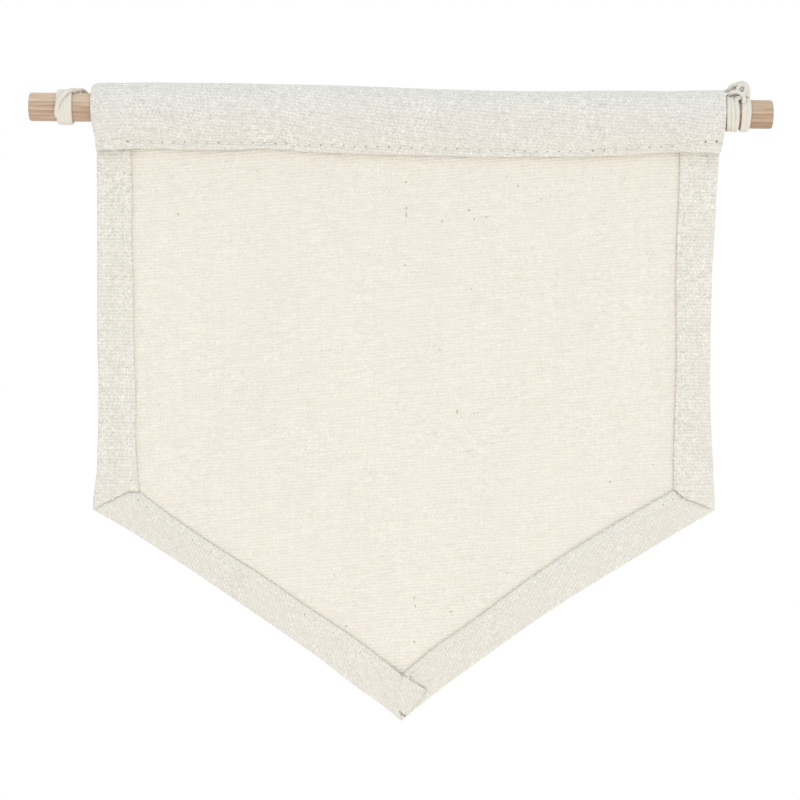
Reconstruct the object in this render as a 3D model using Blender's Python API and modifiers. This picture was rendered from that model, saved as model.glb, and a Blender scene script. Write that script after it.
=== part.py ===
"""Pin display pennant: a hemmed canvas pennant that hangs from a wooden dowel with corded ends.

The origin is the middle of the dowel's axis. +X runs to the viewer's right along the dowel,
+Z is up, and the pennant's front faces -Y.
"""
from math import cos, pi, radians, sin

import bmesh
import bpy
from mathutils import Matrix, Vector

MM = 0.001
GAP = 0.3 * MM

# Dowel
DOWEL_LENGTH = 208.5 * MM
DOWEL_RADIUS = 4 * MM
DOWEL_CHAMFER = 0.5 * MM

# Where the cloth's layers lie, front to back
FLAP_Y = -1.9 * MM
HEM_Y = -1.2 * MM
PANEL_Y = 0.0
BACK_Y = 1.2 * MM
CORE_Y = 0.4 * MM
FOLD_RADIUS = 0.8 * MM

# Outer edge of the hung cloth: x, z in mm, and whether the edge turns a corner there
PENNANT_EDGE = (
    (-85.6, -9.5, True),
    (-85.1, -26.0, False),
    (-84.9, -48.0, False),
    (-84.3, -74.0, False),
    (-84.4, -98.0, False),
    (-85.4, -113.0, True),
    (-60.7, -127.8, False),
    (-37.0, -143.3, False),
    (-15.4, -158.5, False),
    (1.9, -171.3, True),
    (18.3, -158.3, False),
    (40.6, -142.1, False),
    (63.0, -127.2, False),
    (89.3, -111.3, True),
    (88.5, -94.0, False),
    (87.7, -76.0, False),
    (87.8, -55.0, False),
    (88.6, -32.6, False),
    (89.4, -15.7, False),
    (89.6, -9.5, True),
)

# Inner edge of the folded hems, in the same columns
HEM_INNER_EDGE = (
    (-75.7, -10.5, True),
    (-75.1, -37.0, False),
    (-74.3, -66.0, False),
    (-73.6, -93.0, False),
    (-72.4, -107.9, True),
    (-63.1, -114.7, False),
    (-50.8, -122.9, False),
    (-38.2, -130.7, False),
    (-18.0, -144.6, False),
    (1.9, -158.4, True),
    (18.4, -145.3, False),
    (34.9, -133.1, False),
    (46.1, -125.2, False),
    (62.4, -114.9, False),
    (77.7, -105.9, True),
    (77.8, -87.5, False),
    (78.0, -33.0, False),
    (78.5, -10.5, True),
)

# Grooves where one hem's folded end lies against the next: x, z of both ends in mm
MITRES = (
    (-84.4, -112.9, -73.6, -107.7),
    (88.6, -111.4, 80.9, -108.5),
    (80.9, -108.5, 78.2, -106.4),
    (2.6, -158.6, 8.9, -162.6),
    (8.9, -162.6, 7.3, -165.7),
    (7.3, -165.7, 3.0, -170.6),
)
MITRE_WIDTH = 0.4 * MM
MITRE_DEPTH = 0.6 * MM

# The heading along the dowel, in mm: x, its top, the seam across it, the flap's lower edge
HEADING_ROWS = (
    (-86.8, 6.7, -9.6, -12.2),
    (-70.6, 7.2, -9.6, -11.5),
    (-48.0, 7.3, -9.6, -11.7),
    (-37.0, 7.1, -9.6, -11.3),
    (-20.0, 6.95, -10.0, -12.1),
    (-3.0, 6.5, -10.4, -12.6),
    (12.0, 6.15, -10.6, -12.7),
    (31.0, 5.95, -11.0, -12.8),
    (43.0, 6.0, -11.2, -12.7),
    (60.0, 6.25, -10.3, -12.2),
    (77.0, 6.35, -9.2, -11.0),
    (90.7, 6.7, -7.8, -11.4),
)
HEADING_DEPTH = 6.2 * MM
HEADING_WALL = 1.6 * MM
HEADING_BACK_END = -11.8 * MM
BACK_PROUD = 0.06 * MM
SEAM_DENT = 0.35 * MM
SEAM_BELOW = 0.7 * MM
SEAM_ABOVE = 1.6 * MM
BULGE_START_Y = FLAP_Y - 0.5 * MM
FLAP_ROUND = 0.25 * MM
OUTSIDE_ARC = (-38, 222)
TUNNEL_ARC = (-30, 210)
TUNNEL_END_Y = -0.3 * MM
TUNNEL_ABOVE_SEAM = 1.4 * MM
RINGS_PER_ROW = 2
ARC_STEPS = 18

# Front view of the heading, whose ends draw in below the dowel, in the outer edge's columns
HEADING_EDGE = (
    (-86.8, 12.0, True),
    (-86.8, -3.0, True),
    (-86.0, -6.4, False),
    (-85.5, -11.0, False),
    (-85.3, -15.0, True),
    (89.4, -15.0, True),
    (89.6, -12.0, False),
    (90.2, -8.5, False),
    (90.7, -5.0, True),
    (90.7, 12.0, True),
)
OVERRUN = 2 * MM

# Cord and the turns that it makes round the dowel, each turn's middle in mm along x
CORD_DIAMETER = 1.05 * MM
CORD_RADIUS = CORD_DIAMETER / 2
BAND_INNER = DOWEL_RADIUS + GAP
TURN_RADIUS = 0.58 * MM
BAND_MIDDLE = BAND_INNER + 0.2 * MM
TURN_ANGLES = (140, 115, 90, 65, 40)
LEFT_TURNS = (-95.9, -94.8, -93.7, -92.6)
RIGHT_TURNS = (91.8, 92.7, 93.6, 95.95, 97.3)
BAND_STEPS = 28
BAND_MERGE = 0.01 * MM
STRAND_POINTS = 12
SPLINE_STEPS = 12

# Strands over the turns: x in mm, degrees above the front, and mm from the axis
LEFT_CROSSING = ((-95.9, -4, 4.9), (-95.4, 13, 5.3), (-94.3, 30, 5.4), (-93.3, 46, 5.4),
                 (-92.3, 61, 5.3), (-91.2, 79, 5.05))
RIGHT_BRIDGE = ((93.6, 48, 5.0), (94.4, 62, 5.3), (95.4, 66, 5.3), (96.3, 54, 5.0))

# Other strands of the ties: x, y, z in mm
LEFT_LEAVING = ((-90.3, 0.2, 4.9),)
RIGHT_FREE_END = ((95.2, -1.6, 5.3), (93.4, -1.2, 6.4), (92.9, -1.0, 7.5), (94.2, -0.9, 8.4),
                  (96.2, -0.9, 8.7), (97.3, -1.1, 7.9), (97.2, -1.4, 6.6))
RIGHT_LEAVING = ((95.3, -1.2, 5.9), (94.2, 0.6, 6.5), (93.2, 2.2, 6.8), (91.8, 3.6, 6.85))
FREE_END_RADIUS = 0.75 * MM

# The hanging cord's route behind the cloth, in mm, from the left tie to the right one
HANGING_ROUTE = (
    (-90.0, 0.6, 4.9),
    (-89.1, 2.5, 4.6),
    (-88.5, 4.6, 3.6),
    (-87.9, 6.5, 1.6),
    (-87.0, 7.6, -0.9),
    (-84.9, 8.0, -4.3),
    (-79.6, 8.0, -11.2),
    (-72.0, 8.0, -21.9),
    (-62.0, 8.0, -34.0),
    (-49.0, 8.0, -46.5),
    (-34.0, 8.0, -57.0),
    (-17.0, 8.0, -63.8),
    (0.0, 8.0, -66.0),
    (17.0, 8.0, -63.8),
    (34.0, 8.0, -57.0),
    (49.0, 8.0, -46.5),
    (62.0, 8.0, -34.0),
    (72.0, 8.0, -21.9),
    (79.6, 8.0, -11.2),
    (84.4, 8.0, -3.6),
    (87.0, 7.6, 1.6),
    (88.9, 6.4, 5.0),
    (90.3, 5.0, 6.5),
    (91.5, 3.9, 6.8),
)
HANGING_POINTS = 80

# Colours of the materials, with their roughness
CANVAS = ((0.82, 0.79, 0.71, 1.0), 0.9)
WOOD = ((0.59, 0.44, 0.32, 1.0), 0.55)
CORD = ((0.78, 0.745, 0.665, 1.0), 0.85)


def clear_scene():
    """Remove every object, so that the model starts from nothing."""
    for old in list(bpy.data.objects):
        bpy.data.objects.remove(old, do_unlink=True)


def new_collection(name):
    collection = bpy.data.collections.new(name)
    bpy.context.scene.collection.children.link(collection)
    return collection


def new_material(name, look):
    colour, roughness = look
    material = bpy.data.materials.new(name)
    material.use_nodes = True
    shader = material.node_tree.nodes["Principled BSDF"]
    shader.inputs["Base Color"].default_value = colour
    shader.inputs["Roughness"].default_value = roughness
    shader.inputs["Metallic"].default_value = 0.0
    material.diffuse_color = colour
    return material


def mesh_object(name, bm, collection):
    """Turn a bmesh with its faces facing out into an object of the collection."""
    bmesh.ops.recalc_face_normals(bm, faces=bm.faces)
    mesh = bpy.data.meshes.new(name)
    bm.to_mesh(mesh)
    bm.free()
    thing = bpy.data.objects.new(name, mesh)
    collection.objects.link(thing)
    return thing


def as_mesh(thing, collection):
    """Replace an object by its evaluated mesh, welded into one closed body."""
    evaluated = thing.evaluated_get(bpy.context.evaluated_depsgraph_get())
    bm = bmesh.new()
    bm.from_mesh(bpy.data.meshes.new_from_object(evaluated))
    bm.transform(thing.matrix_world)
    bmesh.ops.remove_doubles(bm, verts=bm.verts, dist=0.001 * MM)
    name = thing.name
    bpy.data.objects.remove(thing, do_unlink=True)
    return mesh_object(name, bm, collection)


def outline_solid(name, rows, front_y, back_y, fold_radius, collection):
    """A flat outline in the XZ plane, filled and extruded from front_y to back_y."""
    curve = bpy.data.curves.new(name, "CURVE")
    curve.dimensions = "2D"
    curve.fill_mode = "BOTH"
    curve.resolution_u = 4
    curve.extrude = (back_y - front_y) / 2 - fold_radius
    curve.bevel_depth = fold_radius
    curve.bevel_resolution = 2
    curve.offset = -fold_radius
    spline = curve.splines.new("BEZIER")
    spline.bezier_points.add(len(rows) - 1)
    spline.use_cyclic_u = True
    for point, (x, z, corner) in zip(spline.bezier_points, rows):
        point.co = (x * MM, z * MM, 0)
        point.handle_left_type = "VECTOR" if corner else "AUTO"
        point.handle_right_type = "VECTOR" if corner else "AUTO"
    thing = bpy.data.objects.new(name, curve)
    thing.rotation_euler = (pi / 2, 0, 0)
    thing.location = (0, (front_y + back_y) / 2, 0)
    collection.objects.link(thing)
    bpy.context.view_layer.update()
    return as_mesh(thing, collection)


def loft(name, rings, collection):
    """Join rings of equal length one after another, with the first and last closed."""
    bm = bmesh.new()
    loops = [[bm.verts.new(point) for point in ring] for ring in rings]
    for low, high in zip(loops, loops[1:]):
        for index in range(len(low)):
            following = (index + 1) % len(low)
            bm.faces.new((low[index], low[following], high[following], high[index]))
    caps = [bm.faces.new(loops[0]), bm.faces.new(loops[-1])]
    bmesh.ops.triangulate(bm, faces=caps)
    return mesh_object(name, bm, collection)


def boolean(thing, other, operation):
    """Add or cut the other solid, apply the result, and remove the other solid."""
    modifier = thing.modifiers.new("boolean", "BOOLEAN")
    modifier.operation = operation
    modifier.solver = "EXACT"
    modifier.object = other
    bpy.context.view_layer.update()
    evaluated = thing.evaluated_get(bpy.context.evaluated_depsgraph_get())
    mesh = bpy.data.meshes.new_from_object(evaluated)
    thing.modifiers.clear()
    thing.data = mesh
    bpy.data.objects.remove(other, do_unlink=True)


def ease(value):
    """A smooth step from 0 to 1."""
    value = min(max(value, 0.0), 1.0)
    return value * value * (3 - 2 * value)


def heading_stations():
    """Rows along the heading, with eased rows between the measured ones, in metres."""
    stations = []
    for row, following in zip(HEADING_ROWS, HEADING_ROWS[1:]):
        for step in range(RINGS_PER_ROW):
            part = step / RINGS_PER_ROW
            mixed = [a + (b - a) * (part if index == 0 else ease(part))
                     for index, (a, b) in enumerate(zip(row, following))]
            stations.append([value * MM for value in mixed])
    stations.append([value * MM for value in HEADING_ROWS[-1]])
    return stations


def arc(depth, height, start, finish):
    """Points over the dowel from front to back: depth in y, height above the axis in z."""
    points = []
    for step in range(ARC_STEPS + 1):
        angle = radians(start + (finish - start) * step / ARC_STEPS)
        rise = height if sin(angle) > 0 else depth
        points.append((-depth * cos(angle), rise * sin(angle)))
    return points


def heading_outside(top, seam, flap):
    """Section of the heading's outer surface as (y, z), from the flap over the dowel to the back."""
    section = [(CORE_Y, flap), (FLAP_Y + FLAP_ROUND, flap), (FLAP_Y, flap + FLAP_ROUND)]
    section.append((FLAP_Y, seam - SEAM_BELOW))
    section.append((FLAP_Y + SEAM_DENT, seam))
    section.append((BULGE_START_Y, seam + SEAM_ABOVE))
    section += arc(HEADING_DEPTH, top, *OUTSIDE_ARC)
    section.append((BACK_Y + BACK_PROUD, seam))
    section.append((BACK_Y + BACK_PROUD, HEADING_BACK_END))
    section.append((CORE_Y, HEADING_BACK_END))
    return section


def heading_inside(top, seam):
    """Section of the tunnel that the dowel fills."""
    section = arc(HEADING_DEPTH - HEADING_WALL, top - HEADING_WALL, *TUNNEL_ARC)
    section.append((TUNNEL_END_Y, seam + TUNNEL_ABOVE_SEAM))
    return section


def heading_rings(places, sections, overrun):
    """Place each section along x, with the two end sections moved out by the overrun."""
    shifts = [-overrun] + [0.0] * (len(places) - 2) + [overrun]
    return [[(x + shift, y, z) for y, z in section]
            for x, shift, section in zip(places, shifts, sections)]


def make_canvas(collection):
    """The one cloth: sheet, hems folded forward, and the heading folded over the dowel."""
    canvas = outline_solid("canvas", PENNANT_EDGE, HEM_Y, BACK_Y, FOLD_RADIUS, collection)
    recess = outline_solid("recess", HEM_INNER_EDGE, 3 * HEM_Y, PANEL_Y, 0.0, collection)
    boolean(canvas, recess, "DIFFERENCE")
    for index, mitre in enumerate(MITRES):
        boolean(canvas, groove(f"mitre_{index}", mitre, collection), "DIFFERENCE")
    stations = heading_stations()
    places = [x for x, _, _, _ in stations]
    outside = [heading_outside(top, seam, flap) for _, top, seam, flap in stations]
    inside = [heading_inside(top, seam) for _, top, seam, _ in stations]
    heading = loft("heading", heading_rings(places, outside, OVERRUN), collection)
    front_view = outline_solid("front_view", HEADING_EDGE, -2 * HEADING_DEPTH,
                               2 * HEADING_DEPTH, 0.0, collection)
    boolean(heading, front_view, "INTERSECT")
    boolean(canvas, heading, "UNION")
    tunnel = loft("tunnel", heading_rings(places, inside, 2 * OVERRUN), collection)
    boolean(canvas, tunnel, "DIFFERENCE")
    return canvas


def groove(name, ends, collection):
    """A narrow box along one mitre line, sunk into the hems' front."""
    start = Vector((ends[0] * MM, HEM_Y, ends[1] * MM))
    finish = Vector((ends[2] * MM, HEM_Y, ends[3] * MM))
    run = finish - start
    size = Matrix.Diagonal((run.length, 2 * MITRE_DEPTH, MITRE_WIDTH, 1))
    turn = Vector((1, 0, 0)).rotation_difference(run).to_matrix().to_4x4()
    bm = bmesh.new()
    bmesh.ops.create_cube(bm, size=1, matrix=Matrix.Translation((start + finish) / 2) @ turn @ size)
    return mesh_object(name, bm, collection)


def make_dowel(collection):
    bm = bmesh.new()
    along_x = Matrix.Rotation(pi / 2, 4, "Y")
    bmesh.ops.create_cone(bm, cap_ends=True, segments=48, radius1=DOWEL_RADIUS,
                          radius2=DOWEL_RADIUS, depth=DOWEL_LENGTH, matrix=along_x)
    dowel = mesh_object("dowel", bm, collection)
    bevel = dowel.modifiers.new("worn_ends", "BEVEL")
    bevel.width = DOWEL_CHAMFER
    bevel.segments = 3
    bevel.limit_method = "ANGLE"
    bevel.angle_limit = radians(60)
    return dowel


def band(name, turns, collection):
    """The cord's turns side by side as one ridged ring round the dowel."""
    profile = [(turns[0] * MM - TURN_RADIUS, BAND_INNER)]
    for turn in turns:
        for angle in TURN_ANGLES:
            x = turn * MM + TURN_RADIUS * cos(radians(angle))
            profile.append((x, BAND_MIDDLE + TURN_RADIUS * sin(radians(angle))))
    profile.append((turns[-1] * MM + TURN_RADIUS, BAND_INNER))
    bm = bmesh.new()
    corners = [bm.verts.new((x, 0, radius)) for x, radius in profile]
    for index, corner in enumerate(corners):
        bm.edges.new((corner, corners[(index + 1) % len(corners)]))
    ring = mesh_object(name, bm, collection)
    screw = ring.modifiers.new("turn", "SCREW")
    screw.axis = "X"
    screw.steps = BAND_STEPS
    screw.render_steps = BAND_STEPS
    screw.use_merge_vertices = True
    screw.merge_threshold = BAND_MERGE
    bpy.context.view_layer.update()
    return as_mesh(ring, collection)


def strand(name, points, radius, collection):
    """A length of cord with filled ends along points in metres."""
    curve = bpy.data.curves.new(name, "CURVE")
    curve.dimensions = "3D"
    curve.bevel_depth = radius
    curve.bevel_resolution = 2
    curve.use_fill_caps = True
    spline = curve.splines.new("POLY")
    spline.points.add(len(points) - 1)
    for corner, place in zip(spline.points, points):
        corner.co = (*place, 1)
    thing = bpy.data.objects.new(name, curve)
    collection.objects.link(thing)
    bpy.context.view_layer.update()
    return as_mesh(thing, collection)


def smooth(points, count):
    """A smooth curve through the points, cut into count points an equal way apart."""
    fine = []
    padded = [points[0] * 2 - points[1], *points, points[-1] * 2 - points[-2]]
    for before, start, finish, after in zip(padded, padded[1:], padded[2:], padded[3:]):
        for step in range(SPLINE_STEPS):
            t = step / SPLINE_STEPS
            fine.append(0.5 * (2 * start + (finish - before) * t
                               + (2 * before - 5 * start + 4 * finish - after) * t * t
                               + (3 * start - before - 3 * finish + after) * t ** 3))
    fine.append(points[-1])
    travelled = [0.0]
    for start, finish in zip(fine, fine[1:]):
        travelled.append(travelled[-1] + (finish - start).length)
    even = []
    index = 0
    for number in range(count):
        goal = travelled[-1] * number / (count - 1)
        while index < len(fine) - 2 and travelled[index + 1] < goal:
            index += 1
        share = (goal - travelled[index]) / (travelled[index + 1] - travelled[index])
        even.append(fine[index].lerp(fine[index + 1], share))
    return even


def on_band(x, degrees, radius):
    """A point in metres round the dowel: 0 degrees faces the front and 90 is the top."""
    return at(x, -radius * cos(radians(degrees)), radius * sin(radians(degrees)))


def at(x, y, z):
    return Vector((x * MM, y * MM, z * MM))


def add_strand(tie, name, points, radius, collection):
    """Join a smooth length of cord to a tie."""
    boolean(tie, strand(name, smooth(points, STRAND_POINTS), radius, collection), "UNION")


def make_tie_left(collection):
    """Four turns, with a strand that crosses them and leaves over the dowel's top."""
    tie = band("tie_left", LEFT_TURNS, collection)
    crossing = [on_band(*point) for point in LEFT_CROSSING]
    crossing += [at(*point) for point in LEFT_LEAVING]
    add_strand(tie, "crossing", crossing, CORD_RADIUS, collection)
    return tie


def make_tie_right(collection):
    """Three turns and two, drawn together by a small knot with a bent free end."""
    tie = band("tie_right", RIGHT_TURNS, collection)
    bridge = [on_band(*point) for point in RIGHT_BRIDGE]
    free_end = [at(*point) for point in RIGHT_FREE_END]
    leaving = [at(*point) for point in RIGHT_LEAVING]
    add_strand(tie, "bridge", bridge, CORD_RADIUS, collection)
    add_strand(tie, "free_end", free_end, FREE_END_RADIUS, collection)
    add_strand(tie, "leaving", leaving, CORD_RADIUS, collection)
    return tie


def make_hanging_cord(collection):
    route = [at(*point) for point in HANGING_ROUTE]
    return strand("hanging_cord", smooth(route, HANGING_POINTS), CORD_RADIUS, collection)


def finish_piece(thing, look):
    thing.data.materials.clear()
    thing.data.materials.append(new_material(thing.name, look))
    thing.data.shade_smooth()
    thing.data.set_sharp_from_angle(angle=radians(35))


def main():
    clear_scene()
    collection = new_collection("pin_display_pennant")
    finish_piece(make_canvas(collection), CANVAS)
    finish_piece(make_dowel(collection), WOOD)
    finish_piece(make_tie_left(collection), CORD)
    finish_piece(make_tie_right(collection), CORD)
    finish_piece(make_hanging_cord(collection), CORD)


main()
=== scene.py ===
import random
from math import cos, exp, hypot, pi, radians, sin

import bpy
import numpy as np
from mathutils import Matrix, Vector, noise


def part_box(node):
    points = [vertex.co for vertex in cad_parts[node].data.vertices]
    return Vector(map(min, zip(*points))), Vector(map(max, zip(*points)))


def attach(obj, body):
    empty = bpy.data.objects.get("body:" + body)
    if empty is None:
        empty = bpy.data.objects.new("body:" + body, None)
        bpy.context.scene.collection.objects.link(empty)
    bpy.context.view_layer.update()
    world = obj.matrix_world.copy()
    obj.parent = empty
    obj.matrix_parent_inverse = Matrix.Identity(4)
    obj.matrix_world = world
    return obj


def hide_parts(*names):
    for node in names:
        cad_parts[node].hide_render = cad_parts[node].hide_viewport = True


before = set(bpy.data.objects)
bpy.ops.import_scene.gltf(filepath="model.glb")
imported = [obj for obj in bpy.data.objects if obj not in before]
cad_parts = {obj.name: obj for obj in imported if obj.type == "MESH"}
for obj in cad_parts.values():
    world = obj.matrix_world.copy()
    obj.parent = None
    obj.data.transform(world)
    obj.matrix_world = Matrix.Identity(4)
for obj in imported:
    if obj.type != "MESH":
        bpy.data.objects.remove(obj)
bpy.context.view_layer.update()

MM = 0.001

# What the frame gives, in mm
DOWEL_LOW, DOWEL_HIGH = (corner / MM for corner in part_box("dowel"))
DOWEL_RADIUS = (DOWEL_HIGH.z - DOWEL_LOW.z) / 2

# Cloth, in mm: its thickness, how far apart its layers lie, where the hung sheet's middle is, and
# how far its waves swing
THICK = 0.54
LAYER = 0.58
SHEET_Y = 0.8
BROAD_WAVE, FINE_WAVE = 0.45, 0.14
FOLD = LAYER / 2
EDGE_INSET = FOLD + THICK / 2

# Hems: width in mm, then as shares of it what is turned under, where that lifts the upper layer
# and where the inner edge starts, then as shares of a layer how far parts are pressed down
HEM_WIDTH = 10.2
UNDER_SHARE = 0.42
HEM_STEP = 0.30
EDGE_FROM = 0.86
EDGE_PRESS, UPPER_PRESS, UNDER_PRESS = 0.40, 0.65, 0.45
# The dent along a hem's seam: depth in mm, then place and half width as shares of the hem
SEAM_DENT = 0.14
DENT_PLACE, DENT_RUN = 0.80, 0.06

# Outer edges of the hung cloth in mm: height, then x
LEFT_EDGE = (
    (-113.1, -85.4), (-110.3, -85.4), (-107.5, -85.1), (-102.0, -84.5), (-96.0, -84.35),
    (-85.0, -84.25), (-74.0, -84.35), (-66.0, -84.7), (-51.0, -84.85), (-40.0, -85.0),
    (-29.0, -85.1), (-18.0, -85.35), (-11.0, -85.5), (-9.0, -85.7), (-6.4, -86.1), (-3.0, -86.7),
    (0.0, -86.8), (8.0, -86.8),
)
RIGHT_EDGE = (
    (-111.5, 89.3), (-108.5, 89.3), (-105.7, 89.15), (-94.5, 88.55), (-88.8, 88.2),
    (-83.0, 87.9), (-72.0, 87.7), (-60.7, 87.75), (-49.5, 87.9), (-43.9, 88.0), (-32.6, 88.6),
    (-21.4, 89.05), (-15.7, 89.4), (-12.0, 89.6), (-10.1, 90.0), (-7.8, 90.5), (-5.0, 90.8),
    (8.0, 90.8),
)
# The two lower edges in mm: x, then height
LOWER_LEFT = (
    (-85.4, -113.1), (-77.7, -117.3), (-66.4, -124.2), (-55.0, -131.4), (-43.7, -139.0),
    (-32.4, -146.5), (-21.1, -154.3), (-9.7, -162.9), (-3.0, -167.5), (1.9, -171.6),
)
LOWER_RIGHT = (
    (1.9, -171.6), (4.9, -168.9), (12.7, -162.6), (23.9, -154.2), (35.0, -146.0),
    (46.2, -138.2), (57.4, -131.1), (68.5, -124.2), (79.7, -117.2), (89.3, -111.5),
)
# How far up an inset of 1 mm square to the lower edges reaches
LOWER_SLANT = 1.22

# Inner edges of the folded hems in mm, in the same columns
LEFT_INNER = (
    (-107.9, -72.4), (-103.0, -72.9), (-93.0, -73.6), (-80.0, -73.7), (-66.0, -74.4),
    (-51.0, -74.6), (-37.0, -75.2), (-24.0, -75.2), (-13.3, -75.7), (8.0, -76.2),
)
RIGHT_INNER = (
    (-105.9, 77.7), (-97.0, 77.6), (-87.5, 77.8), (-66.0, 78.1), (-50.0, 77.8), (-33.0, 78.0),
    (-22.0, 78.4), (-11.6, 78.5), (8.0, 79.0),
)
LOWER_LEFT_INNER = (
    (-72.4, -107.9), (-63.1, -114.7), (-50.8, -122.9), (-38.2, -130.7), (-25.0, -139.6),
    (-10.0, -149.4), (1.9, -158.4),
)
LOWER_RIGHT_INNER = (
    (1.9, -158.4), (10.0, -151.6), (22.5, -142.6), (34.9, -133.1), (46.1, -125.2),
    (62.4, -114.9), (77.7, -105.9),
)
# Edge of the left strip's end, which laps over the right strip at the tip: x, height
LAP_EDGE = ((1.9, -171.0), (6.9, -165.9), (8.9, -162.6), (1.9, -158.4))
LAP_RUN, LAP_RISE, LAP_INSET = 9.0, 0.9, 1.5
# How far the mitres' seams bend up at a share of their length, and where the lower strips tuck in
LEFT_BEND, RIGHT_BEND = 1.2, -0.9
MITRE_SHARE = 0.8
MITRE_TUCK = (0.15, 0.18, 0.38)
BEND_ROWS = 10

# The heading along the dowel, in mm: x, its top, its seam, the flap's lower edge
HEADING = (
    (-86.8, 5.8, -9.5, -12.6), (-85.9, 6.75, -9.5, -12.5), (-84.6, 6.9, -9.5, -12.3),
    (-79.0, 7.0, -9.6, -12.0), (-70.6, 7.2, -9.6, -11.5), (-60.0, 7.2, -9.6, -11.9),
    (-48.0, 7.25, -9.6, -11.7), (-37.0, 7.1, -9.6, -11.3), (-25.0, 7.0, -9.9, -12.0),
    (-14.0, 6.85, -10.2, -12.5), (-3.0, 6.5, -10.4, -12.6), (8.0, 6.2, -10.5, -12.7),
    (19.0, 6.0, -10.7, -12.8), (31.0, 5.85, -11.0, -12.8), (42.0, 5.9, -11.2, -12.7),
    (53.0, 6.15, -10.8, -12.5), (65.0, 6.3, -10.0, -11.9), (76.0, 6.3, -9.2, -11.1),
    (84.0, 6.6, -8.2, -11.2), (90.8, 6.7, -7.8, -11.4),
)
HEADING_DEPTH = 4.8
FLAT_TOP = -14.0
WAVE_FADE = 14.0
# Where the heading lies over the side hems, and its gaps to the panel and to those hems, in mm
COVER_LEFT, COVER_RIGHT, COVER_RUN = -73.4, 75.8, 3.2
FLAP_GAP, HEM_GAP = 0.10, 0.12
# Section of the heading in mm: up behind the dowel, over it in degrees, down the front to below
# the seam, round the flap's lower edge, and up inside
BACK_POINTS = ((0.02, -1.6), (0.1, 0.0), (0.9, 1.5))
BACK_SWELL = (2.1, 4.2)
ARC = range(208, -23, -15)
ARC_LOOSE = 0.05
BACK_SLACK, FRONT_SLACK, FRONT_SWELL = 0.30, 0.35, 0.45
FRONT_POINTS = ((-1.15, 2.2), (-0.28, 0.7), (0.12, 0.0), (-0.16, -0.7))
FLAP_POINTS = ((-0.12, 0.35), (0.05, 0.06), (LAYER / 2, -0.10), (LAYER - 0.06, 0.06), (LAYER, 0.4))
RAW_POINTS = ((LAYER - 0.02, -0.3), (LAYER, 0.6))

# Rows, columns and steps of the cloth's mesh, the heading's rows where the hems are pressed flat,
# and in mm how far apart its sections are worked out
HALF_COLUMNS = 72
FLAT_ROWS = 96
LOOP_ROWS = 74
HEM_STEPS = 14
UNDER_STEPS = 3
FOLD_STEPS = 6
LAP_STEPS = 8
PRESSED_FROM, PRESSED_ROWS = 6, 6
SECTIONS_FROM, SECTIONS_TO, SECTION_STEP = -94.0, 96.1, 1.0
SPLINE_STEPS = 16

# Sewing, in mm
STITCH = 3.2
STITCH_INSET = 2.0
SEAM_SHARE = 1 - STITCH_INSET / HEM_WIDTH
# Where the side seams start, then where the others run in x
SIDE_SEAM_TOP = -12.0
LEFT_SEAM, RIGHT_SEAM, HEADING_SEAM = (-71.5, 2.5), (1.5, 77.5), (-79.4, 88.8)
STITCH_RISE = 0.22
STITCH_SUNK = 0.13
STITCH_STEPS = 8
STITCH_ENDS = 0.07
THREAD_SIDES = 6
HOLE_SHADE_SIDES = 7
HOLE_SHADE_RISE = 0.06
# Each kind of seam: radius of its thread, and of the smallest and largest dark cone of painted shade at
# its needle holes
SEAMS = {"plain": (0.17, 0.05, 0.20), "heading": (0.18, 0.12, 0.25), "heading_end": (0.12, 0.03, 0.12)}
# Needle holes whose painted shade stands out: x, z, radius
EXTRA_HOLE_SHADES = (
    (2.0, -169.5, 0.34), (2.8, -169.9, 0.34), (1.5, -168.9, 0.2),
    (85.45, -8.15, 0.32), (88.6, -7.95, 0.32), (-78.8, -9.6, 0.26), (-76.6, -9.7, 0.26),
    (-73.9, -9.65, 0.28),
)

# Weave, in mm: distance between threads and depth of its bump
WARP_PITCH = 0.613
WEFT_PITCH = 0.953
WEAVE_RELIEF = 0.12
# How strong each unevenness of the two faces is, painted shade in the weave's gaps and painted
# highlights on its nubs among them. calm is how much of it fades on the lower strips.
CREAM_WEAVE = {
    "level": 0.63, "relief_shade": 0.11, "crossing": 0.22, "dash": 0.20, "fibre": 0.32, "streak": 0.08,
    "broad": 0.06, "nub_highlight": 0.9, "calm": 0.0}
WHITE_WEAVE = {
    "level": 0.59, "relief_shade": 0.25, "crossing": 0.52, "dash": 0.26, "fibre": 0.75, "streak": 0.10,
    "broad": 0.07, "nub_highlight": 2.6, "calm": 0.36}
# How steeply the weft rises to the right, how far out it does, and how softly it ends
SKEW = 0.087
SKEW_REACH = 74.0
SKEW_BLEND = 12.0
# Where the flat cloth grows calmer on its way down to the lower strips
CALM_FROM = 92.0
CALM_FADE = 26.0
# Place of the heading's front in the flat cloth, and how far the white cloth's painted cool light from
# above fades out from there
HEADING_FRONT = 21.0
PAINTED_SKYLIGHT_FADE = 14.0
# The canvas's darkest and brightest spots, as shares of its colour, painted weave shade and nub
# highlights among them
DARKEST, BRIGHTEST = 0.62, 1.16

# Cord, in mm; a strand's points are x, degrees round the dowel and distance from its axis
CORD_DIAMETER = 1.05
CORD_RADIUS = CORD_DIAMETER / 2
CORD_SIDES = 18
CORD_RING = 0.22
CORD_PATH_STEP = 12
CORD_LAY = 2.6
STRANDS = 3
GROOVE_SHARE, STRAND_RISE, STRAND_ROUND = 0.92, 0.11, 0.7
WRAP_RADIUS = DOWEL_RADIUS + 0.50
# Turns round the dowel in degrees, and how deep and over how many degrees their ends tuck in
WINDING_START, WINDING_END, WINDING_STEP = 150, -200, 6
WINDING_TUCK, TUCK_RUN = 0.20, 50
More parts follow.
